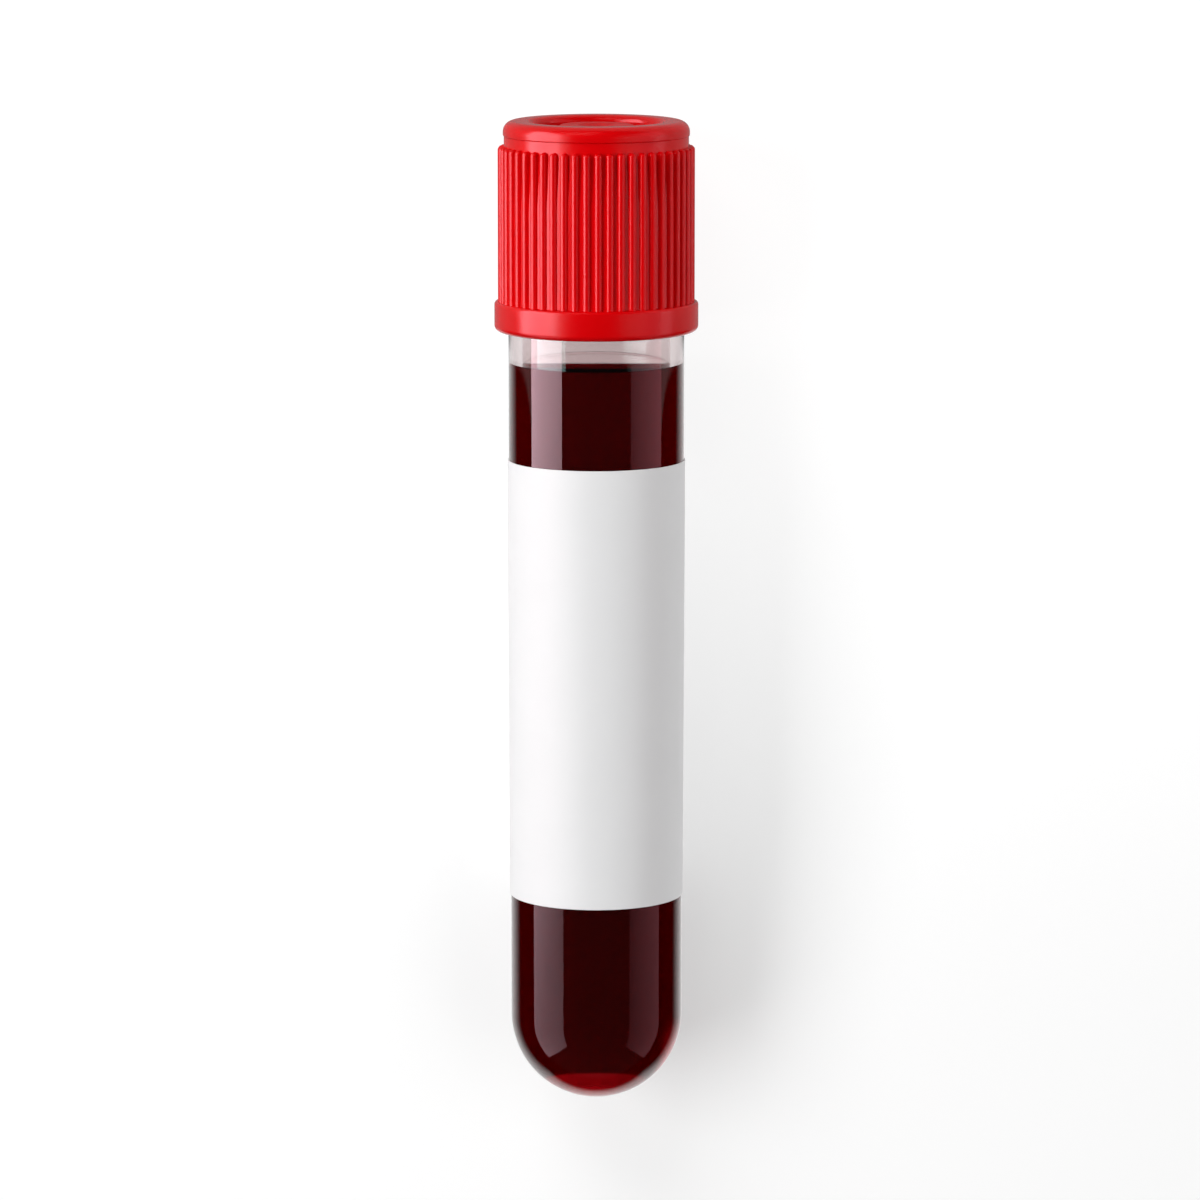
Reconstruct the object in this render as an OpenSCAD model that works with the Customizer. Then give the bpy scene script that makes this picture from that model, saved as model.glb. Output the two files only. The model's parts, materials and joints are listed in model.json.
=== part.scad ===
// Blood collection tube: a round-bottomed plastic tube with the blood in it and a
// glued label, closed by a ribbed shield that holds a rubber stopper.
// Each piece is drawn upright on the tube's axis, with the tip of the dome at the
// origin. lie_down() then lays it on its side as it comes to rest, on the dome and
// on the shield's smooth band, with the closure towards +Y.

/* [Tube] */
// Outside diameter at the mouth
tube_od = 13; // [12.7:0.1:13.4]
// Outside diameter of the lower end, after the wall's draft
tube_end_od = 12.78; // [12:0.02:13]
// Length from the tip of the dome to the rim
tube_len = 69.4; // [66:0.1:80]
// Wall thickness
tube_wall = 1; // [0.8:0.05:1.3]
// Length of straight wall above the dome
end_straight = 9; // [6:0.5:20]
// Length of straight wall below the rim
mouth_straight = 24; // [16:0.5:30]
// Rounding of the rim's edges
rim_round = 0.3; // [0.1:0.05:0.4]

/* [Blood] */
// Height of the air between the blood's flat surface and the foot of the plug
air_gap = 6.6; // [4:0.1:40]
// Radius of the meniscus, where the blood climbs the wall
meniscus_r = 0.9; // [0.3:0.1:1.5]
// Width of the meniscus, as a share of its radius
meniscus_reach = 0.8; // [0.3:0.1:0.9]
// Clearance between the blood and the wall
blood_gap = 0.02; // [0.01:0.01:0.05]

/* [Label] */
// Height of the label's lower edge above the tip of the dome
label_low = 15.6; // [8:0.1:20]
// Height of the label
label_h = 32.8; // [20:0.1:36]
// Thickness of the label
label_t = 0.08; // [0.05:0.01:0.15]
// Width of the clear window between the label's two ends
label_window = 5; // [2:0.5:12]

/* [Shield] */
// Height of the shield
cap_h = 15.5; // [14.5:0.05:18]
// Radial clearance of the shield's bore round the tube and the flange
cap_gap = 0.08; // [0.06:0.01:0.12]
// Thickness of the top, over the stopper's flange
cap_top_wall = 1.3; // [1:0.05:1.6]
// Diameter of the top ring
ring_d = 13.76; // [13.7:0.02:14.1]
// Height of the top ring
ring_h = 1.09; // [0.8:0.01:1.4]
// Rounding of the top ring's outer edge
ring_round = 0.5; // [0.2:0.05:0.6]
// Diameter of the neck under the top ring
neck_d = 13.62; // [13.56:0.02:13.68]
// Height of the neck
neck_h = 0.76; // [0.4:0.02:1.2]
// Diameter of the hole in the top
hole_d = 9.5; // [8.6:0.02:10.4]
// Rounding of that hole's edge
hole_round = 0.4; // [0.2:0.05:0.6]
// Chamfer inside the skirt's mouth
skirt_chamfer = 0.15; // [0.05:0.05:0.2]

/* [Ribs] */
// Number of ribs
rib_count = 52; // [36:1:56]
// Diameter over the ribs
rib_od = 14.52; // [14.4:0.02:14.8]
// Diameter at the foot of the ribs
rib_foot_d = 14; // [13.9:0.02:14.2]
// Width of a rib, a half-round bead
rib_w = 0.58; // [0.4:0.02:0.66]
// Width of the web under a rib's bead
rib_web = 0.46; // [0.3:0.02:0.5]
// Height of the slope from the neck out to the foot of the ribs
shoulder_h = 0.3; // [0.1:0.05:0.6]

/* [Band] */
// Diameter of the smooth band
band_d = 15.06; // [14.9:0.02:15.6]
// Height of the band
band_h = 2.1; // [1.6:0.05:3]
// Rounding of the band's upper edge
band_top_round = 0.24; // [0.1:0.02:0.36]
// Rounding of the band's lower edge
band_low_round = 0.45; // [0.2:0.05:0.6]

/* [Stopper] */
// Thickness of the flange on the tube's rim
flange_t = 2.8; // [2.2:0.05:3.4]
// Chamfer of the flange's upper edge
flange_chamfer = 0.6; // [0.4:0.05:0.7]
// Radius of the bead in the shield's bore that holds the flange
bead_r = 0.22; // [0.15:0.01:0.3]
// Clearance between the bead and its groove
bead_gap = 0.05; // [0.03:0.01:0.08]
// Length of the plug in the tube
plug_len = 7; // [5:0.1:9]
// Radial clearance between the plug and the tube's bore
plug_gap = 0.15; // [0.1:0.01:0.25]
// Chamfer at the foot of the plug
plug_chamfer = 0.5; // [0.2:0.05:0.8]
// Radial clearance between the sealing lip and the tube's bore
lip_gap = 0.03; // [0.02:0.01:0.06]
// Radius of the sealing lip
lip_r = 0.8; // [0.5:0.05:1.2]
// Height of the lip's middle above the foot of the plug
lip_up = 1.8; // [1.3:0.1:2.5]
// Diameter of the well under the plug
well_d = 5.8; // [4:0.1:7]
// Depth of the well
well_depth = 6; // [3.6:0.1:7]
// Diameter of the boss in the hole of the top
boss_d = 5.6; // [4.6:0.1:7]
// Depth of the boss's top below the top ring
boss_drop = 0.3; // [0.1:0.05:0.6]
// Rounding of the boss's edge
boss_round = 0.25; // [0.1:0.05:0.4]
// Diameter of the dimple where the needle goes in
dimple_d = 2.8; // [1.6:0.1:3.6]
// Depth of the dimple
dimple_depth = 0.4; // [0.2:0.05:0.8]

/* [Pose] */
// Roll of the lying tube about its own axis
roll = 1.2; // [-180:0.1:180]

/* [Hidden] */
$fn = 96;
small_fn = 32;
spare = 1;

// Tube
mouth_r = tube_od / 2;
end_r = tube_end_od / 2;
bore_r = mouth_r - tube_wall;
draft_low = end_r + end_straight;
draft_high = tube_len - mouth_straight;

// Closure, from the rim up and then down
flange_top = tube_len + flange_t;
cap_top = flange_top + cap_top_wall;
cap_low = cap_top - cap_h;
cap_bore_r = mouth_r + cap_gap;
bead_z = tube_len + flange_t / 2;
ring_low = cap_top - ring_h;
neck_low = ring_low - neck_h;
shoulder_low = neck_low - shoulder_h;
band_top = cap_low + band_h;
plug_low = tube_len - plug_len;
boss_top = cap_top - boss_drop;

// Blood
pool_r = bore_r - blood_gap;
blood_level = plug_low - air_gap;
meniscus_start = pool_r - meniscus_r * meniscus_reach;

// Label
label_angle = 360 - label_window / mouth_r * 180 / PI;
label_turn = -90 - label_angle / 2;

// Lying tube: the band is wider than the dome, so the axis rises towards the closure.
// The lean brings the dome and the round of the band's lower edge to one level.
band_edge_r = band_d / 2 - band_low_round;
band_edge_run = cap_low + band_low_round - end_r;
lean = acos((end_r - band_low_round) / norm([band_edge_r, band_edge_run]))
    - atan2(band_edge_run, band_edge_r);
y_dome = end_r * (cos(lean) - 1);
y_ring = (cap_top - ring_round) * cos(lean) + (ring_d / 2 - ring_round) * sin(lean) + ring_round;

module lie_down()
    translate([0, -(y_dome + y_ring) / 2, end_r * (1 - sin(lean))])
        rotate([lean - 90, 0, 0]) rotate([0, 0, roll]) children();

// Profiles are in [radius, height]. This is the waste that rounds a square corner at
// the origin of a profile that lies towards +x and +y.
module corner_waste(r)
    difference() {
        translate([-spare, -spare]) square(r + spare);
        translate([r, r]) circle(r = r, $fn = small_fn);
    }

// Profile of a disc from height low to high, with its outer edges rounded
module disc_profile(r, low, high, top_round, low_round)
    difference() {
        translate([0, low]) square([r, high - low]);
        if (top_round > 0) translate([r, high]) rotate(180) corner_waste(top_round);
        if (low_round > 0) translate([r, low]) mirror([1, 0]) corner_waste(low_round);
    }

// Round-bottomed solid, straight, drafted and straight again up to a flat top.
// Its surface lies inset inside the tube's outside.
module tube_form(inset, top) {
    low_r = end_r - inset;
    high_r = mouth_r - inset;
    translate([0, 0, end_r]) {
        sphere(r = low_r);
        cylinder(r = low_r, h = end_straight);
    }
    translate([0, 0, draft_low]) cylinder(r1 = low_r, r2 = high_r, h = draft_high - draft_low);
    translate([0, 0, draft_high]) cylinder(r = high_r, h = top - draft_high);
}

module tube()
    color([0.86, 0.84, 0.84, 0.4]) lie_down()
        difference() {
            tube_form(0, tube_len);
            tube_form(tube_wall, tube_len + spare);
            rotate_extrude() {
                translate([mouth_r, tube_len]) rotate(180) corner_waste(rim_round);
                translate([bore_r, tube_len]) mirror([0, 1]) corner_waste(rim_round);
            }
        }

module blood()
    color("darkred") lie_down()
        difference() {
            tube_form(mouth_r - pool_r, blood_level + meniscus_r);
            translate([0, 0, blood_level]) cylinder(r = meniscus_start, h = meniscus_r + spare);
            translate([0, 0, blood_level + meniscus_r])
                rotate_extrude() translate([meniscus_start, 0]) circle(r = meniscus_r);
        }

// The label wraps the wall and leaves a clear window on the far side from the print
module label()
    color("white") lie_down()
        intersection() {
            difference() {
                tube_form(-label_t, tube_len);
                tube_form(0, tube_len + spare);
            }
            rotate([0, 0, label_turn])
                rotate_extrude(angle = label_angle)
                    translate([bore_r, label_low]) square([2 * tube_wall, label_h]);
        }

// Outside of the shield without its ribs: ring, neck, shoulder, rib wall and band
module shield_outline() {
    disc_profile(ring_d / 2, ring_low, cap_top, ring_round, 0);
    polygon([
        [0, cap_low + band_h / 2], [rib_foot_d / 2, cap_low + band_h / 2],
        [rib_foot_d / 2, shoulder_low], [neck_d / 2, neck_low],
        [neck_d / 2, ring_low], [0, ring_low]]);
    disc_profile(band_d / 2, cap_low, band_top, band_top_round, band_low_round);
}

// Bore for the tube and the flange, with its chamfered mouth, and the hole in the top
module shield_hollow() {
    polygon([
        [0, cap_low - spare], [cap_bore_r + skirt_chamfer + spare, cap_low - spare],
        [cap_bore_r, cap_low + skirt_chamfer],
        [cap_bore_r, flange_top - flange_chamfer], [cap_bore_r - flange_chamfer, flange_top],
        [0, flange_top]]);
    translate([0, cap_low]) square([hole_d / 2, cap_h + spare]);
    translate([hole_d / 2, cap_top]) mirror([0, 1]) corner_waste(hole_round);
}

// A rib is a half-round bead with a rounded upper end, on a web rooted in the wall.
// Both run down into the band.
module rib() {
    root_r = (cap_bore_r + rib_foot_d / 2) / 2;
    crest_r = (rib_od - rib_w) / 2;
    low = cap_low + band_h / 2;
    high = neck_low - rib_w / 2;
    translate([root_r, -rib_web / 2, low]) cube([crest_r - root_r, rib_web, high - low]);
    translate([crest_r, 0, low]) cylinder(r = rib_w / 2, h = high - low, $fn = small_fn);
    translate([crest_r, 0, high]) sphere(r = rib_w / 2, $fn = small_fn);
}

module cap_shield()
    color("crimson") lie_down()
        union() {
            difference() {
                union() {
                    rotate_extrude() shield_outline();
                    for (i = [0:rib_count - 1]) rotate([0, 0, 360 * i / rib_count]) rib();
                }
                rotate_extrude() shield_hollow();
            }
            translate([0, 0, bead_z])
                rotate_extrude() translate([cap_bore_r, 0]) circle(r = bead_r, $fn = small_fn);
        }

// Plug with its sealing lip, flange with the groove for the shield's bead, and boss
module stopper_outline() {
    plug_r = bore_r - plug_gap;
    polygon([
        [0, plug_low], [plug_r - plug_chamfer, plug_low], [plug_r, plug_low + plug_chamfer],
        [plug_r, tube_len], [mouth_r, tube_len],
        [mouth_r, flange_top - flange_chamfer], [mouth_r - flange_chamfer, flange_top],
        [0, flange_top]]);
    translate([bore_r - lip_gap - lip_r, plug_low + lip_up]) circle(r = lip_r);
    disc_profile(boss_d / 2, tube_len, boss_top, boss_round, 0);
}

// Groove for the bead, needle dimple and the round-ended well under the plug
module stopper_hollow() {
    dimple_r = (dimple_d * dimple_d / 4 + dimple_depth * dimple_depth) / (2 * dimple_depth);
    well_round = plug_low + well_depth - well_d / 2;
    translate([cap_bore_r, bead_z]) circle(r = bead_r + bead_gap, $fn = small_fn);
    translate([0, boss_top + dimple_r - dimple_depth]) circle(r = dimple_r);
    translate([0, well_round]) circle(r = well_d / 2);
    translate([0, plug_low - spare]) square([well_d / 2, well_round - plug_low + spare]);
}

module stopper()
    color("firebrick") lie_down()
        rotate_extrude()
            difference() {
                stopper_outline();
                stopper_hollow();
            }

tube();
blood();
label();
cap_shield();
stopper();
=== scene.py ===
"""Blood collection tube: finishes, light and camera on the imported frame.

Shapes are worked out in millimetres on the tube's own axis: r is the distance from the axis and h
the height above the tip of the dome. at() puts such a point into the row frame, in metres."""

import json
import math

import bpy
from mathutils import Matrix, Vector


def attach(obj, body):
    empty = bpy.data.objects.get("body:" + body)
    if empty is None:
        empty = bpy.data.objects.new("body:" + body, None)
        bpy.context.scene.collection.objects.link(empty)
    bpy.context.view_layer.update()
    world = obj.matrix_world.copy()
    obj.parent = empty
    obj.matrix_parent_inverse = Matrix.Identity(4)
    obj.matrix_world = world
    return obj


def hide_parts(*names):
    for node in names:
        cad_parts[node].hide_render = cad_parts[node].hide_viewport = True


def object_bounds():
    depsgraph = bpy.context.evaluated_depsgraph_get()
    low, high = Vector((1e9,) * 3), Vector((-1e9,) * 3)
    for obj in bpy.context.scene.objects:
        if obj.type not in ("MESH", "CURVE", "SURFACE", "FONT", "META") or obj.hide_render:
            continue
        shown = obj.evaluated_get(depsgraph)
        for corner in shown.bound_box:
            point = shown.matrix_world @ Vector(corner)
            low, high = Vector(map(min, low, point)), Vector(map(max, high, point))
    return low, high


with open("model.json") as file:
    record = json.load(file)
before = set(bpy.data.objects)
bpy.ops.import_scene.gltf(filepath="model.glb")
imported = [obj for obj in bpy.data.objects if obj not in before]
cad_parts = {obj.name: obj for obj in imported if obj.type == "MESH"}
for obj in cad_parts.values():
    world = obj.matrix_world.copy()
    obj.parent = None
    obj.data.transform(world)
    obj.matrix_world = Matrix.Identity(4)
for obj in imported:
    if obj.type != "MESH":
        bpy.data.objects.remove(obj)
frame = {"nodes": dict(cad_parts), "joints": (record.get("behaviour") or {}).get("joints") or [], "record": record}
cad_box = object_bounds()

MM = 0.001

# ---------------------------------------------------------------- sizes from the frame

mounts = {m["name"]: m for m in frame["record"]["mounts"]}
tube_end = mounts["tube_end"]
axis = Vector(frame["joints"][0]["axis"]).normalized()
across = Vector((1, 0, 0))
away = across.cross(axis)

end_r = tube_end["dims"]["r_mm"]
draft_low = end_r + tube_end["dims"]["length_mm"]
tip = Vector(tube_end["pos_m"]) - axis * (end_r + draft_low) / 2 * MM
band_r = mounts["closure_band"]["dims"]["r_mm"]


def at(r, angle, h):
    """The place of a point in the row frame. Angle 0 is away from the floor, and 90 degrees +X."""
    return tip + (across * r * math.sin(angle) + away * r * math.cos(angle) + axis * h) * MM


def reach(name):
    """(lowest height, highest height, largest radius) of a CAD node along the axis, in mm."""
    heights, radii = [], []
    for vertex in frame["nodes"][name].data.vertices:
        out = (vertex.co - tip) / MM
        height = out.dot(axis)
        heights.append(height)
        radii.append((out - axis * height).length)
    return min(heights), max(heights), max(radii)


_, rim, mouth_r = reach("tube")
_, blood_top, _ = reach("blood")
label_low, label_high, _ = reach("label")
cap_low, cap_top, _ = reach("cap_shield")
plug_low, boss_top, _ = reach("stopper")

# ---------------------------------------------------------------- details of the pieces, in mm

WALL = 1.0
MOUTH_STRAIGHT = 24.0  # below the rim, the wall has no draft over this height
RIM_ROUND = 0.3

BLOOD_SINKS_IN = 0.02  # the blood wets the wall, so its skin lies just inside the plastic
MENISCUS_R, MENISCUS_REACH = 0.9, 0.45  # the reach is a share of the radius
SURFACE_DROP = 0.66  # from the top of the solid's meniscus to the open surface

LABEL_T, LABEL_WINDOW = 0.08, 5.0
LABEL_GLUE, LABEL_EDGE = LABEL_T * 0.05, LABEL_T / 4  # the gap under the film, and its bevel

CAP_GAP, CAP_TOP_WALL = 0.08, 1.3
RING_R, RING_H, RING_ROUND, RING_CREASE = 6.88, 1.09, 0.8, 0.06
NECK_R, NECK_H, NECK_GROOVE = 6.81, 0.76, 0.03
HOLE_R, HOLE_ROUND, HOLE_BEVEL = 4.75, 0.5, 0.02
RIBS, RIB_CREST_R, RIB_FOOT_R, RIB_W = 52, 7.26, 7.0, 0.58
RIB_BLEND = 0.03  # softens the line where a rib meets the wall
RIBS_GONE = 0.08  # so far above the neck's foot, the neck is round
SHOULDER_H = 4.0  # over this height, the wall between the ribs narrows to the neck
BAND_H, BAND_TOP_ROUND, BAND_LOW_ROUND, BAND_FILLET = 2.2, 0.24, 0.45, 0.06
SKIRT_CHAMFER, FLANGE_CHAMFER = 0.15, 0.6

PLUG_GAP, PLUG_CHAMFER = 0.15, 0.5
LIP_GAP, LIP_R, LIP_UP = 0.03, 0.8, 1.8
WELL_R, WELL_DEPTH = 2.9, 6.0
BOSS_R, BOSS_ROUND, BOSS_FILLET = 2.8, 0.25, 0.2
DIMPLE_R, DIMPLE_DEPTH = 1.4, 0.4

ROLL = math.radians(1.2)  # how far the lying tube is turned about its own axis
SLACK = 0.01  # for telling which heights and radii the ribs take in

draft_high = rim - MOUTH_STRAIGHT
bore_r = mouth_r - WALL
cap_bore_r = mouth_r + CAP_GAP
flange_top = cap_top - CAP_TOP_WALL
ring_low = cap_top - RING_H
neck_low = ring_low - NECK_H
shoulder_low = neck_low - SHOULDER_H
band_top = cap_low + BAND_H
rib_half = RIB_W / 2
rib_top = neck_low - rib_half
surface = blood_top - SURFACE_DROP
wetted = surface + MENISCUS_R * (1 - math.sqrt(1 - MENISCUS_REACH**2))


def wall_r(h):
    """Outside radius of the tube's wall at a height above the dome."""
    share = (h - draft_low) / (draft_high - draft_low)
    return end_r + (mouth_r - end_r) * min(1.0, max(0.0, share))


# ---------------------------------------------------------------- mesh tools

COLUMNS, DOME_STEPS = 192, 40
LABEL_COLUMNS, LABEL_ROWS = 180, 24
ON_AXIS = 1e-6  # a smaller radius counts as none
SHARP_ANGLE = math.radians(35)


def arc(r, h, radius, start, end, steps):
    """Points of a round about (r, h), between two angles in degrees from the +r direction."""
    angles = [math.radians(start + (end - start) * i / steps) for i in range(steps + 1)]
    return [(r + radius * math.cos(a), h + radius * math.sin(a)) for a in angles]


def evenly(low, high, steps):
    """Numbers from low to high, both included, at even steps."""
    return [low + (high - low) * i / steps for i in range(steps + 1)]


def make(name, points, faces, body):
    """A piece from points in the row frame that rides on a body: smooth but for sharp edges."""
    mesh = bpy.data.meshes.new(name)
    mesh.from_pydata(points, [], faces)
    mesh.validate()
    mesh.polygons.foreach_set("use_smooth", [True] * len(mesh.polygons))
    mesh.set_sharp_from_angle(angle=SHARP_ANGLE)
    mesh.update()
    piece = bpy.data.objects.new(name, mesh)
    bpy.context.scene.collection.objects.link(piece)
    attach(piece, body)
    return piece


def turned(name, profile, body, angles=None, shape=None, closed=False):
    """A solid of revolution from (r, h) points. Its columns default to a full even turn.
    shape(r, angle, h) may move a point out or in. A closed profile goes back to its first point."""
    angles = angles or evenly(0, 2 * math.pi, COLUMNS)
    full = math.isclose(angles[-1] - angles[0], 2 * math.pi)
    columns = angles[:-1] if full else angles
    points, rows = [], []
    for r, h in profile:
        if r < ON_AXIS:
            rows.append([len(points)] * len(columns))
            points.append(at(0, 0, h))
            continue
        rows.append(list(range(len(points), len(points) + len(columns))))
        for angle in columns:
            points.append(at(shape(r, angle, h) if shape else r, angle, h))
    pairs = list(zip(rows, rows[1:])) + ([(rows[-1], rows[0])] if closed else [])
    faces = []
    steps = len(columns) if full else len(columns) - 1
    for low, high in pairs:
        for i in range(steps):
            j = (i + 1) % len(columns)
            corners = [low[i], low[j], high[j], high[i]]
            faces.append([c for n, c in enumerate(corners) if c not in corners[:n]])
    if not full:
        faces.append([row[0] for row in rows])
        faces.append([row[-1] for row in reversed(rows)])
    return make(name, points, [f for f in faces if len(f) > 2], body)


# ---------------------------------------------------------------- shader tools

COLOUR_A, COLOUR_B, COLOUR_OUT = 6, 7, 2  # sockets of a Mix node set to colours


def feed(tree, socket, value):
    """Links a socket from another one, or sets its plain value. A colour comes without alpha."""
    if isinstance(value, bpy.types.NodeSocket):
        tree.links.new(value, socket)
    elif socket.type == "RGBA":
        socket.default_value = (*value, 1)
    else:
        socket.default_value = value


def node(tree, kind, **inputs):
    """A new shader node with its inputs fed. Their names have _ for a space."""
    made = tree.nodes.new("ShaderNode" + kind)
    for name, value in inputs.items():
        feed(tree, made.inputs[name.replace("_", " ")], value)
    return made


def calc(tree, operation, a, b=None):
    """A Math node's output."""
    made = node(tree, "Math")
    made.operation = operation
    for socket, value in zip(made.inputs, (a, b)):
        if value is not None:
            feed(tree, socket, value)
    return made.outputs[0]


def blend(tree, share, low, high):
    """A colour between two."""
    made = node(tree, "Mix")
    made.data_type = "RGBA"
    feed(tree, made.inputs["Factor"], share)
    feed(tree, made.inputs[COLOUR_A], low)
    feed(tree, made.inputs[COLOUR_B], high)
    return made.outputs[COLOUR_OUT]


def mixed(tree, share, one, other):
    """One shader where the share is 0, and the other where it is 1."""
    made = node(tree, "MixShader")
    for socket, value in zip(made.inputs, (share, one, other)):
        feed(tree, socket, value)
    return made.outputs[0]


def finish_with(tree, shader):
    tree.links.new(shader, tree.nodes["Material Output"].inputs["Surface"])


def smooth(tree, value, start, end, low, high):
    """Goes smoothly from low to high as the value goes from start to end."""
    ends = {"From_Min": start, "From_Max": end, "To_Min": low, "To_Max": high}
    made = node(tree, "MapRange", Value=value, **ends)
    made.interpolation_type = "SMOOTHSTEP"
    return made.outputs["Result"]


def fade(tree, length, start_mm, end_mm, low=0.0, high=1.0):
    """The same for a length, which is in metres, as it goes from one number of mm to another."""
    return smooth(tree, length, start_mm * MM, end_mm * MM, low, high)


def noise(tree, size_mm, detail=2.0, stretch=(1, 1, 1)):
    """Noise with grains of about that size, in the piece's own coordinates."""
    where = node(tree, "TexCoord").outputs["Object"]
    place = node(tree, "Mapping", Vector=where, Scale=[s / (size_mm * MM) for s in stretch])
    grain = node(tree, "TexNoise", Vector=place.outputs["Vector"], Scale=1.0, Detail=detail)
    return grain.outputs["Fac"]


def between(tree, grain, low, high):
    """A number from noise, which seldom leaves 0.3 to 0.7."""
    made = node(tree, "MapRange", Value=grain, From_Min=0.3, From_Max=0.7, To_Min=low, To_Max=high)
    return made.outputs["Result"]


def bump(tree, shader, grain, depth_mm, strength):
    made = node(tree, "Bump", Height=grain, Distance=depth_mm * MM, Strength=strength)
    tree.links.new(made.outputs["Normal"], shader.inputs["Normal"])


def along(tree, direction):
    """How far a point lies along a direction from the dome's tip, in metres."""
    dot = node(tree, "VectorMath")
    dot.operation = "DOT_PRODUCT"
    feed(tree, dot.inputs[0], node(tree, "TexCoord").outputs["Object"])
    feed(tree, dot.inputs[1], direction)
    return calc(tree, "SUBTRACT", dot.outputs["Value"], tip.dot(direction))


def seen_by(tree, *kinds):
    """1 for rays from the camera and of the kinds named."""
    path = node(tree, "LightPath")
    value = path.outputs["Is Camera Ray"]
    for kind in kinds:
        value = calc(tree, "MAXIMUM", value, path.outputs[kind])
    return value


def material(name, rgb, roughness, **inputs):
    """A Principled material with plain values, its node tree, and its shader node."""
    made = bpy.data.materials.new(name)
    made.use_nodes = True
    tree = made.node_tree
    shader = tree.nodes["Principled BSDF"]
    feed(tree, shader.inputs["Base Color"], rgb)
    feed(tree, shader.inputs["Roughness"], roughness)
    for socket, value in inputs.items():
        feed(tree, shader.inputs[socket.replace("_", " ")], value)
    return made, tree, shader


def dress(piece, made):
    piece.data.materials.clear()
    piece.data.materials.append(made)


# ---------------------------------------------------------------- materials


def red_plastic():
    """Moulded polyethylene: saturated red, satin, with a fine spark-eroded grain."""
    made, tree, shader = material("red_plastic", (0.7, 0.0, 0.002), 0.22, Specular_IOR_Level=0.45)
    colour = blend(tree, noise(tree, 2.5), (0.66, 0.0, 0.001), (0.71, 0.0, 0.002))
    feed(tree, shader.inputs["Base Color"], colour)
    feed(tree, shader.inputs["Roughness"], between(tree, noise(tree, 0.6), 0.2, 0.24))
    bump(tree, shader, noise(tree, 0.12, 1.0), 0.002, 0.3)
    return made


def red_rubber():
    """Butyl rubber of the closure's red, duller, with a soft grain and talc-pale specks."""
    made, tree, shader = material("red_rubber", (0.62, 0.003, 0.006), 0.5, Specular_IOR_Level=0.35)
    colour = blend(tree, noise(tree, 1.2, 4.0), (0.58, 0.002, 0.004), (0.67, 0.008, 0.011))
    feed(tree, shader.inputs["Base Color"], colour)
    feed(tree, shader.inputs["Roughness"], between(tree, noise(tree, 0.5), 0.46, 0.58))
    bump(tree, shader, noise(tree, 0.15, 2.0), 0.006, 0.6)
    return made


def label_film():
    """White satin film with a faint paper-like mottle."""
    made, tree, shader = material("label_film", (0.86, 0.86, 0.865), 0.5, Specular_IOR_Level=0.15)
    colour = blend(tree, noise(tree, 3.0, 3.0), (0.85, 0.85, 0.855), (0.875, 0.875, 0.88))
    feed(tree, shader.inputs["Base Color"], colour)
    feed(tree, shader.inputs["Roughness"], between(tree, noise(tree, 0.8), 0.46, 0.56))
    bump(tree, shader, noise(tree, 0.25, 3.0), 0.003, 0.4)
    return made


def clear_plastic(name, tint, ior):
    """Clear moulded PET that lets the lamps through to what is inside. Where the blood wets the
    wall, the IOR is 1, so that light goes on into the blood without a bend."""
    made, tree, shader = material(name, tint, 0.0, IOR=ior, Transmission_Weight=1.0)
    bump(tree, shader, noise(tree, 9.0, 1.0, (1, 0.3, 1)), 0.02, 0.15)
    shadow = node(tree, "LightPath").outputs["Is Shadow Ray"]
    through = node(tree, "BsdfTransparent").outputs["BSDF"]
    finish_with(tree, mixed(tree, shadow, shader.outputs["BSDF"], through))
    return made


# The lens at the dome's tip, painted light for the light the dome gathers: its height, how far it
# # leans, its share of red at the heart and at its edge, and the depths over which they fade in.
LENS_TOP, LENS_SLANT, LENS_SHARE, LENS_EDGE_SHARE = 2.0, 0.27, 0.9, 0.3
LENS_FADE, LENS_EDGE_FADE = 1.8, 0.2
# The crescent on the dome's right, painted light on its lit side: its lean, its share of red, and
# # the lengths in mm over which it fades in sideways, out with height about the dome's centre, and
# # in with distance from the floor.
CRESCENT_SLANT, CRESCENT_SHARE = 0.6, 0.9
CRESCENT_ASIDE, CRESCENT_HEIGHT, CRESCENT_UP = (2.4, 4.6), (-4.0, 0.5), (-3.0, -0.5)
DEEP_SHARE = 0.012  # the least share of red, in the depth of the blood


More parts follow.
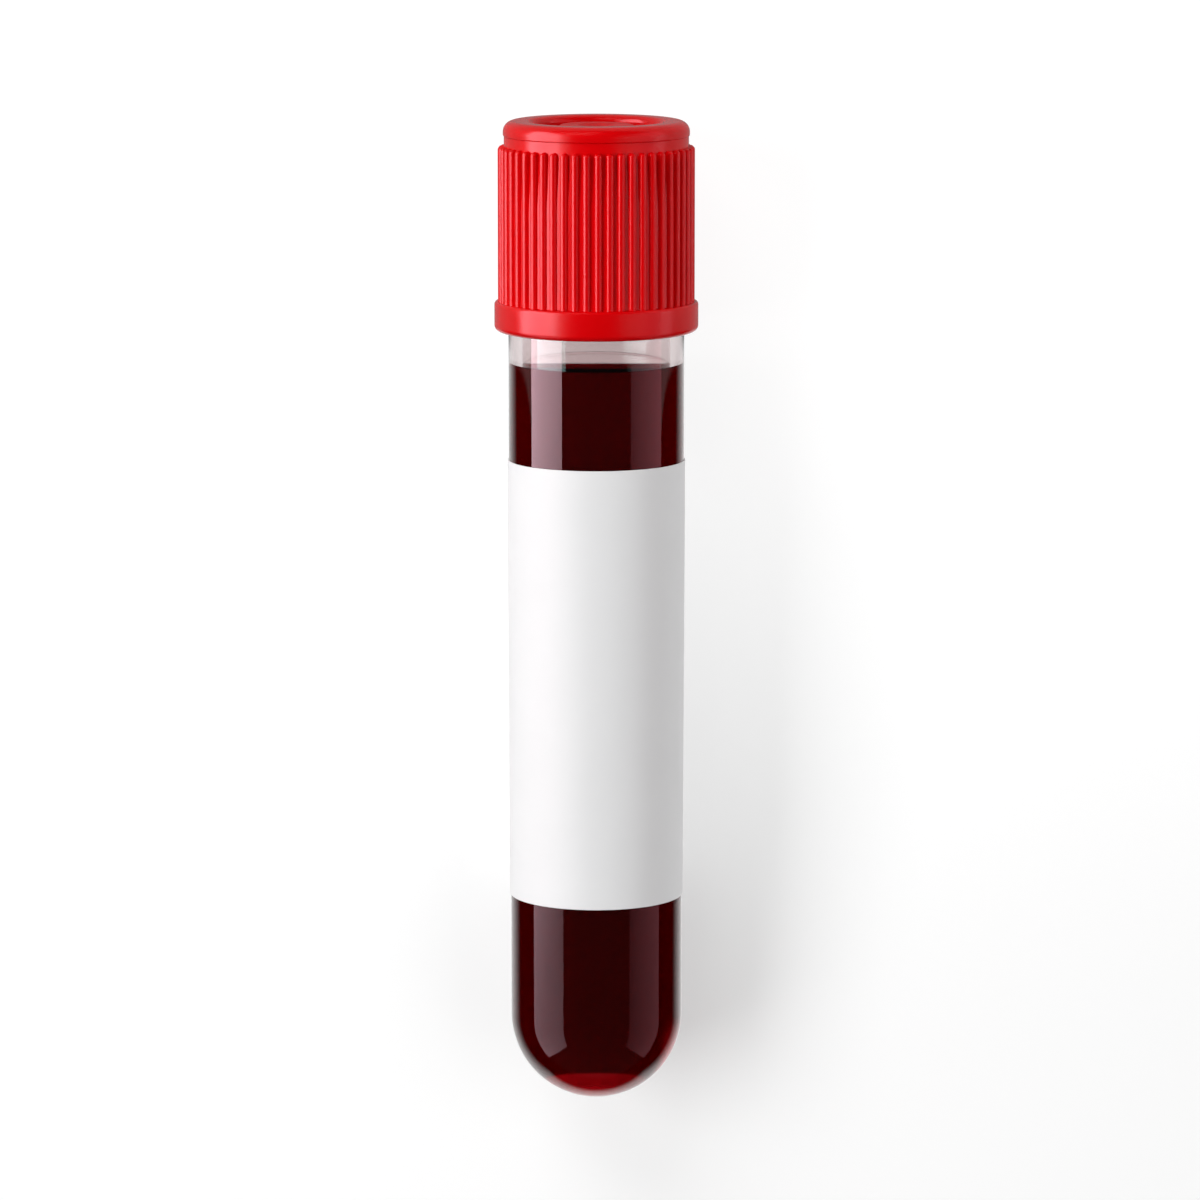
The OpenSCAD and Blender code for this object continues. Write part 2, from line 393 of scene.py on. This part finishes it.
def blood_liquid():
    """Blood that lets a little red through where it is thin and is nearly black where it is deep.
    The dome's end and its right side are painted a brighter diffuse red, as a lens and a
    crescent: painted light that stands for the light the dome gathers."""
    pale = (0.9, 0.4, 0.4)
    made, tree, shader = material("blood_liquid", pale, 0.0, IOR=1.0, Transmission_Weight=1.0)
    # Painted light: brighter red at the dome's end (the lens) and on its right side (the crescent).
    height = along(tree, axis - away * LENS_SLANT)
    edge = fade(tree, height, LENS_TOP - LENS_EDGE_FADE, LENS_TOP, LENS_EDGE_SHARE, 0.0)
    heart = fade(tree, height, LENS_TOP - LENS_FADE, LENS_TOP, LENS_SHARE, 0.0)
    lens = calc(tree, "MAXIMUM", edge, heart)

    sideways = along(tree, across - away * CRESCENT_SLANT)
    beside = fade(tree, sideways, *CRESCENT_ASIDE, 0.0, CRESCENT_SHARE)
    low = fade(tree, along(tree, axis), *(end_r + h for h in CRESCENT_HEIGHT), 1.0, 0.0)
    upper = fade(tree, along(tree, away), *CRESCENT_UP)
    painted_crescent_light = calc(tree, "MULTIPLY", calc(tree, "MULTIPLY", beside, low), upper)

    painted_light_share = calc(tree, "MAXIMUM", calc(tree, "MAXIMUM", lens, painted_crescent_light), DEEP_SHARE)
    colour = blend(tree, noise(tree, 2.0, 2.0), (0.85, 0.003, 0.01), (0.95, 0.008, 0.02))
    red = node(tree, "BsdfDiffuse", Color=colour)
    finish_with(tree, mixed(tree, painted_light_share, shader.outputs["BSDF"], red.outputs["BSDF"]))
    inside = node(tree, "VolumeAbsorption", Color=(0.86, 0.0, 0.03), Density=2200.0)
    output = tree.nodes["Material Output"]
    tree.links.new(inside.outputs["Volume"], output.inputs["Volume"])
    return made


def blood_surface():
    """The open surface of the blood, seen only at a low angle: its near side shows its red, with
    painted shade darkening it towards the wall, and its far half is a mirror placed by position,
    a painted reflection of the wall behind it."""
    made, tree, shader = material("blood_surface", (0.3, 0.002, 0.003), 0.3, Specular_IOR_Level=0.0)
    near = along(tree, away)
    red = blend(tree, noise(tree, 1.5, 3.0), (0.24, 0.001, 0.002), (0.36, 0.003, 0.005))
    # Painted shade: the red darkens towards the wall.
    painted_wall_shade = fade(tree, near, 1.5, 3.5)
    feed(tree, shader.inputs["Base Color"], blend(tree, painted_wall_shade, red, (0.006, 0.0, 0.0)))
    mirror = node(tree, "BsdfGlossy", Color=(0.95, 0.9, 0.9), Roughness=0.1)
    # Painted reflection: by position, the far half is a mirror and the near half is not.
    painted_reflection_share = fade(tree, near, -0.6, 0.6, 1.0, 0.0)
    finish_with(tree, mixed(tree, painted_reflection_share, shader.outputs["BSDF"], mirror.outputs["BSDF"]))
    return made


# ---------------------------------------------------------------- pieces


def tube():
    """The clear tube. Its inner faces below the blood's level are dressed as wetted."""
    profile = arc(0, end_r, end_r, -90, 0, DOME_STEPS)
    profile += [(end_r, draft_low), (mouth_r, draft_high)]
    profile += arc(mouth_r - RIM_ROUND, rim - RIM_ROUND, RIM_ROUND, 0, 90, 8)
    profile += arc(bore_r + RIM_ROUND, rim - RIM_ROUND, RIM_ROUND, 90, 180, 8)
    profile += [(bore_r, wetted), (bore_r, draft_high), (end_r - WALL, draft_low)]
    profile += arc(0, end_r, end_r - WALL, 0, -90, DOME_STEPS)
    piece = turned("clear_tube", profile, "tube")
    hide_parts("tube")
    dress(piece, clear_plastic("clear_plastic", (0.75, 0.67, 0.67), 1.57))
    piece.data.materials.append(clear_plastic("wetted_plastic", (1, 1, 1), 1.0))
    for face in piece.data.polygons:
        out = (face.center - tip) / MM
        height = out.dot(axis)
        faces_in = (out - axis * height).dot(face.normal) < 0
        in_dome = (out - axis * end_r).length < end_r - WALL / 2
        face.material_index = 1 if (faces_in or in_dome) and height < wetted else 0


def blood():
    """The filling, up to a flat surface with a meniscus."""
    pool_r = bore_r + BLOOD_SINKS_IN
    low_r = end_r - WALL + BLOOD_SINKS_IN
    turn_r = pool_r - MENISCUS_R * MENISCUS_REACH
    reach_angle = math.degrees(math.asin(MENISCUS_REACH))
    profile = arc(0, end_r, low_r, -90, 0, DOME_STEPS)
    profile += [(low_r, draft_low), (pool_r, draft_high)]
    profile += arc(turn_r, surface + MENISCUS_R, MENISCUS_R, reach_angle - 90, -90, 12)
    profile += [(0, surface)]
    piece = turned("blood_fill", profile, "tube")
    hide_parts("blood")
    dress(piece, blood_liquid())
    piece.data.materials.append(blood_surface())
    for face in piece.data.polygons:
        face.material_index = 1 if face.normal.dot(axis) > 0.5 else 0


def label():
    """The film follows the wall all round but for a clear window on the far side."""
    half = math.pi - LABEL_WINDOW / mouth_r / 2
    heights = evenly(label_low + LABEL_EDGE, label_high - LABEL_EDGE, LABEL_ROWS)
    profile = [(wall_r(label_low) + LABEL_T - LABEL_EDGE, label_low)]
    profile += [(wall_r(h) + LABEL_T, h) for h in heights]
    profile += [(wall_r(label_high) + LABEL_T - LABEL_EDGE, label_high)]
    profile += [(wall_r(h) + LABEL_GLUE, h) for h in [label_high] + heights[::-1] + [label_low]]
    angles = evenly(ROLL - half, ROLL + half, LABEL_COLUMNS)
    piece = turned("label_film", profile, "tube", angles, closed=True)
    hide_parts("label")
    dress(piece, label_film())


def rib_columns():
    """Angles of the shield's columns: closer on each rib's flanks than on its crest and beside."""
    pitch = 2 * math.pi / RIBS
    half = rib_half / RIB_FOOT_R
    offsets = [half * math.sin(math.radians(a)) for a in evenly(-90, 90, 12)]
    valley = evenly(half, pitch - half, 4)[1:-1]
    columns = [pitch * i + offset for i in range(RIBS) for offset in offsets + valley]
    return [ROLL + angle for angle in columns + [2 * math.pi - half]]


def ribbed(r, angle, h):
    """Radius of the shield's outside with its ribs: half-round beads with a round upper end."""
    if not band_top <= h <= neck_low + SLACK or r < cap_bore_r + SLACK:
        return r
    pitch = 2 * math.pi / RIBS
    turns = (angle - ROLL) / pitch
    off = (turns - round(turns)) * pitch * RIB_FOOT_R
    square = rib_half**2 - off**2 - max(0.0, h - rib_top) ** 2
    if square <= 0:
        return r
    crest = RIB_CREST_R - rib_half + math.sqrt(square)
    return RIB_BLEND * math.log(math.exp(r / RIB_BLEND) + math.exp(crest / RIB_BLEND))


def shield():
    """The closure's red shell, from the skirt's mouth up the outside and down the bore."""
    profile = [(cap_bore_r + SKIRT_CHAMFER, cap_low)]
    profile += arc(band_r - BAND_LOW_ROUND, cap_low + BAND_LOW_ROUND, BAND_LOW_ROUND, -90, 0, 10)
    profile += arc(band_r - BAND_TOP_ROUND, band_top - BAND_TOP_ROUND, BAND_TOP_ROUND, 0, 90, 8)
    profile += [(RIB_FOOT_R + BAND_FILLET, band_top)]
    profile += arc(RIB_FOOT_R + BAND_FILLET, band_top + BAND_FILLET, BAND_FILLET, 270, 180, 3)[1:]
    profile += [(RIB_FOOT_R, h) for h in evenly(band_top + BAND_FILLET, shoulder_low, 10)[1:]]
    for h in evenly(shoulder_low, rib_top, 10)[1:] + evenly(rib_top, neck_low, 8)[1:]:
        share = (h - shoulder_low) / SHOULDER_H
        profile.append((RIB_FOOT_R + (NECK_R - RIB_FOOT_R) * share, h))
    profile += [(NECK_R, neck_low + RIBS_GONE), (NECK_R, ring_low - 2 * NECK_GROOVE)]
    profile += arc(NECK_R, ring_low, NECK_GROOVE, -90, -180, 3)
    profile += arc(RING_R - RING_CREASE, ring_low + RING_CREASE, RING_CREASE, -90, 0, 4)
    profile += arc(RING_R - RING_ROUND, cap_top - RING_ROUND, RING_ROUND, 0, 90, 12)
    profile += arc(HOLE_R + HOLE_ROUND, cap_top - HOLE_ROUND, HOLE_ROUND, 90, 180, 10)
    profile += [(HOLE_R, flange_top + HOLE_BEVEL), (HOLE_R + HOLE_BEVEL, flange_top)]
    profile += [(cap_bore_r - FLANGE_CHAMFER, flange_top)]
    profile += [(cap_bore_r, flange_top - FLANGE_CHAMFER), (cap_bore_r, cap_low + SKIRT_CHAMFER)]
    columns = rib_columns()
    piece = turned("ribbed_shield", profile, "closure", columns, ribbed, True)
    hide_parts("cap_shield")
    dress(piece, red_plastic())


def stopper():
    """The rubber stopper, from the top of its well over the plug, flange and boss to the dimple."""
    plug_r = bore_r - PLUG_GAP
    well_turn = plug_low + WELL_DEPTH - WELL_R
    lip_middle = bore_r - LIP_GAP - LIP_R
    lip_angle = math.degrees(math.acos((plug_r - lip_middle) / LIP_R))
    dimple = (DIMPLE_R**2 + DIMPLE_DEPTH**2) / (2 * DIMPLE_DEPTH)
    dimple_angle = math.degrees(math.asin(DIMPLE_R / dimple))
    profile = arc(0, well_turn, WELL_R, 90, 0, 16) + [(WELL_R, plug_low)]
    profile += [(plug_r - PLUG_CHAMFER, plug_low), (plug_r, plug_low + PLUG_CHAMFER)]
    profile += arc(lip_middle, plug_low + LIP_UP, LIP_R, -lip_angle, lip_angle, 8)
    profile += [(plug_r, rim), (mouth_r, rim), (mouth_r, flange_top - FLANGE_CHAMFER)]
    profile += [(mouth_r - FLANGE_CHAMFER, flange_top)]
    profile += arc(BOSS_R + BOSS_FILLET, flange_top + BOSS_FILLET, BOSS_FILLET, 270, 180, 5)
    profile += arc(BOSS_R - BOSS_ROUND, boss_top - BOSS_ROUND, BOSS_ROUND, 0, 90, 6)
    profile += arc(0, boss_top + dimple - DIMPLE_DEPTH, dimple, dimple_angle - 90, -90, 10)
    piece = turned("rubber_stopper", profile, "closure")
    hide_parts("stopper")
    dress(piece, red_rubber())


tube()
blood()
label()
shield()
stopper()

# ---------------------------------------------------------------- floor, lamps, cards and world

FLOOR_SIZE = 3000
FLOOR_WHITE = 1.08
# The floor takes a share of the shadow, from the dome's end to the closure's, in mm along Y.
SHADE_FROM, SHADE_TO, SHADE_AT_DOME, SHADE_AT_CLOSURE = -35, 25, 0.6, 0.17
# Gloss shows the floor fading to black between two distances in mm, beside and beyond the tube.
FLAGS_FROM, FLAGS_FULL, FLAGS_BEYOND_END = 9, 19, 36
# Past a height in mm along Y, which is less by a share of the distance aside, gloss shows it grey.
CLOSURE_FROM, CLOSURE_FULL, CLOSURE_SLANT, CLOSURE_GREY = 20, 22, 0.165, 0.3

CARD_ASIDE, CARD_HEIGHT, CARD_LENGTH = 150, 156, 360
# The cards' light falls off towards the dome between two places in mm along Y.
CARD_FADES_FROM, CARD_FADES_TO, CARD_CLOSURE_SHARE = -75, 15, 1.15

EAST, NORTH, UP = Vector((1, 0, 0)), Vector((0, 1, 0)), Vector((0, 0, 1))


def sheet_at(name, centre, sideways, lengthways, width, length):
    """A flat rectangle about a centre, in mm."""
    corners = [(-1, -1), (1, -1), (1, 1), (-1, 1)]
    side, end = sideways * width / 2, lengthways * length / 2
    mesh = bpy.data.meshes.new(name)
    mesh.from_pydata([(centre + side * x + end * y) * MM for x, y in corners], [], [(0, 1, 2, 3)])
    made = bpy.data.objects.new(name, mesh)
    bpy.context.scene.collection.objects.link(made)
    return made


def floor_white(tree, shader, y):
    """What the camera and rays through the plastic see: white, with a share of the shadow that is
    smaller beside the closure. Other rays see a plain grey floor."""
    share = fade(tree, y, SHADE_FROM, SHADE_TO, SHADE_AT_DOME, SHADE_AT_CLOSURE)
    own = node(tree, "BsdfDiffuse", Color=share)
    glow = node(tree, "Emission", Strength=calc(tree, "SUBTRACT", FLOOR_WHITE, share))
    both = node(tree, "AddShader")
    tree.links.new(glow.outputs[0], both.inputs[0])
    tree.links.new(own.outputs[0], both.inputs[1])
    seen = seen_by(tree, "Is Transmission Ray")
    return mixed(tree, seen, shader.outputs[0], both.outputs[0])


def floor_sheen(tree, x, y):
    """What gloss on the tube shows: a floor that is white beside the tube and dark farther off, as
    black cards on it would make it, and a plain grey beside and beyond the closure."""
    beside = calc(tree, "ABSOLUTE", x)
    beyond = calc(tree, "SUBTRACT", calc(tree, "ABSOLUTE", y), FLAGS_BEYOND_END * MM)
    farther = calc(tree, "MAXIMUM", beside, beyond)
    edge = fade(tree, farther, FLAGS_FROM, FLAGS_FULL, 1.0, 0.0)
    upwards = calc(tree, "ADD", y, calc(tree, "MULTIPLY", beside, CLOSURE_SLANT))
    closure = fade(tree, upwards, CLOSURE_FROM, CLOSURE_FULL)
    held = calc(tree, "MULTIPLY", edge, calc(tree, "SUBTRACT", 1.0, closure))
    level = calc(tree, "ADD", held, calc(tree, "MULTIPLY", closure, CLOSURE_GREY))
    return node(tree, "Emission", Strength=level).outputs[0]


def floor():
    """A pale floor under the part. A ray through clear plastic counts as gloss too, so the sheen
    leaves transmission out."""
    middle = (Vector(cad_box[0]) + Vector(cad_box[1])) / 2
    middle.z = 0
    plane = sheet_at("floor", middle / MM, EAST, NORTH, FLOOR_SIZE, FLOOR_SIZE)
    grey = (0.62, 0.62, 0.62)
    made, tree, shader = material("floor_white", grey, 0.9, Specular_IOR_Level=0.0)
    split = node(tree, "SeparateXYZ", Vector=node(tree, "TexCoord").outputs["Object"])
    white = floor_white(tree, shader, split.outputs["Y"])
    sheen = floor_sheen(tree, split.outputs["X"], split.outputs["Y"])
    path = node(tree, "LightPath")
    straight = calc(tree, "SUBTRACT", 1.0, path.outputs["Is Transmission Ray"])
    glossy = calc(tree, "MULTIPLY", path.outputs["Is Glossy Ray"], straight)
    finish_with(tree, mixed(tree, glossy, white, sheen))
    dress(plane, made)


def lamp(name, level, angle, endwise=0, distance=470, width=180, length=420):
    """A soft rectangular lamp, at an angle from upright about the tube and turned endwise towards
    the closure's end, in degrees and mm. What faces it gets that share of the plain level of light.
    Gloss doesn't show it: the cards do that."""
    data = bpy.data.lights.new(name, "AREA")
    data.shape = "RECTANGLE"
    data.size, data.size_y = width * MM, length * MM
    data.energy = level * (math.pi * distance * MM) ** 2
    made = bpy.data.objects.new(name, data)
    turn, tilt = math.radians(angle), math.radians(endwise)
    flat = math.cos(tilt)
    back = Vector((math.sin(turn) * flat, math.sin(tilt), math.cos(turn) * flat))
    side = NORTH.cross(back).normalized()
    made.location = back * distance * MM
    made.rotation_euler = Matrix((side, back.cross(side), back)).transposed().to_euler()
    made.visible_glossy = False
    made.visible_transmission = False
    bpy.context.scene.collection.objects.link(made)


def card(name, side, low, high, tint, inner_tint, dome_share):
    """An upright card beside the tube that only gloss shows, so its reflection runs along the tube.
    Its brightness goes from low at the floor to high at its top, and falls to a share towards the
    dome. The plastic's inner faces show it in a colour of its own."""
    centre = Vector((side * CARD_ASIDE, 0, CARD_HEIGHT / 2))
    plane = sheet_at(name, centre, UP, NORTH, CARD_HEIGHT, CARD_LENGTH)
    made = bpy.data.materials.new(name)
    made.use_nodes = True
    tree = made.node_tree
    tree.nodes.clear()
    split = node(tree, "SeparateXYZ", Vector=node(tree, "TexCoord").outputs["Generated"])
    level = node(tree, "MapRange", Value=split.outputs["Z"], To_Min=low, To_Max=high)
    start, end = CARD_FADES_FROM / CARD_LENGTH + 0.5, CARD_FADES_TO / CARD_LENGTH + 0.5
    ends = smooth(tree, split.outputs["Y"], start, end, dome_share, CARD_CLOSURE_SHARE)
    strength = calc(tree, "MULTIPLY", level.outputs["Result"], ends)
    inner = node(tree, "LightPath").outputs["Is Transmission Ray"]
    glow = node(tree, "Emission", Color=blend(tree, inner, tint, inner_tint), Strength=strength)
    output = node(tree, "OutputMaterial")
    tree.links.new(glow.outputs[0], output.inputs["Surface"])
    dress(plane, made)
    plane.visible_camera = False
    plane.visible_diffuse = False
    plane.visible_shadow = False


def sky():
    """White to the camera, and nearly black to all else."""
    world = bpy.data.worlds.new("studio")
    world.use_nodes = True
    tree = world.node_tree
    dark = tree.nodes["Background"]
    feed(tree, dark.inputs["Color"], (1, 1, 1))
    feed(tree, dark.inputs["Strength"], 0.02)
    white = node(tree, "Background")
    both = mixed(tree, seen_by(tree), dark.outputs[0], white.outputs[0])
    tree.links.new(both, tree.nodes["World Output"].inputs["Surface"])
    bpy.context.scene.world = world


floor()
lamp("key_left", 0.82, -48)
lamp("fill_right", 0.21, 41)
lamp("side_right", 0.38, 84, distance=420, width=60)
lamp("end_soft", 0.5, -30, endwise=55, distance=480, width=260, length=260)
card("card_left", -1, 6.6, 4.2, (1.0, 0.67, 0.76), (0.6, 0.98, 0.95), 0.27)
card("card_right", 1, 1.25, 0.47, (1.0, 0.4, 0.47), (0.6, 0.8, 0.8), 0.6)
sky()

# ---------------------------------------------------------------- camera

CAMERA_LEAN = math.radians(9.4)  # towards the closure
CAMERA_DISTANCE = 441.4
CAMERA_LENS, CAMERA_SENSOR = 177.9, 36.0
AIM_BELOW_TOP = 35.7
AIM_ASIDE = 0.27


def camera():
    """Looks down on the lying tube, with the axis upright in view."""
    data = bpy.data.cameras.new("camera")
    data.lens, data.sensor_width = CAMERA_LENS, CAMERA_SENSOR
    data.clip_start, data.clip_end = 0.01, 10
    made = bpy.data.objects.new("camera", data)
    back = away * math.cos(CAMERA_LEAN) + axis * math.sin(CAMERA_LEAN)
    up = axis * math.cos(CAMERA_LEAN) - away * math.sin(CAMERA_LEAN)
    aim = at(0, 0, cap_top - AIM_BELOW_TOP) + across * AIM_ASIDE * MM
    made.location = aim + back * CAMERA_DISTANCE * MM
    made.rotation_euler = Matrix((across, up, back)).transposed().to_euler()
    bpy.context.scene.collection.objects.link(made)
    bpy.context.scene.camera = made


camera()
bpy.context.scene.view_settings.view_transform = "Standard"
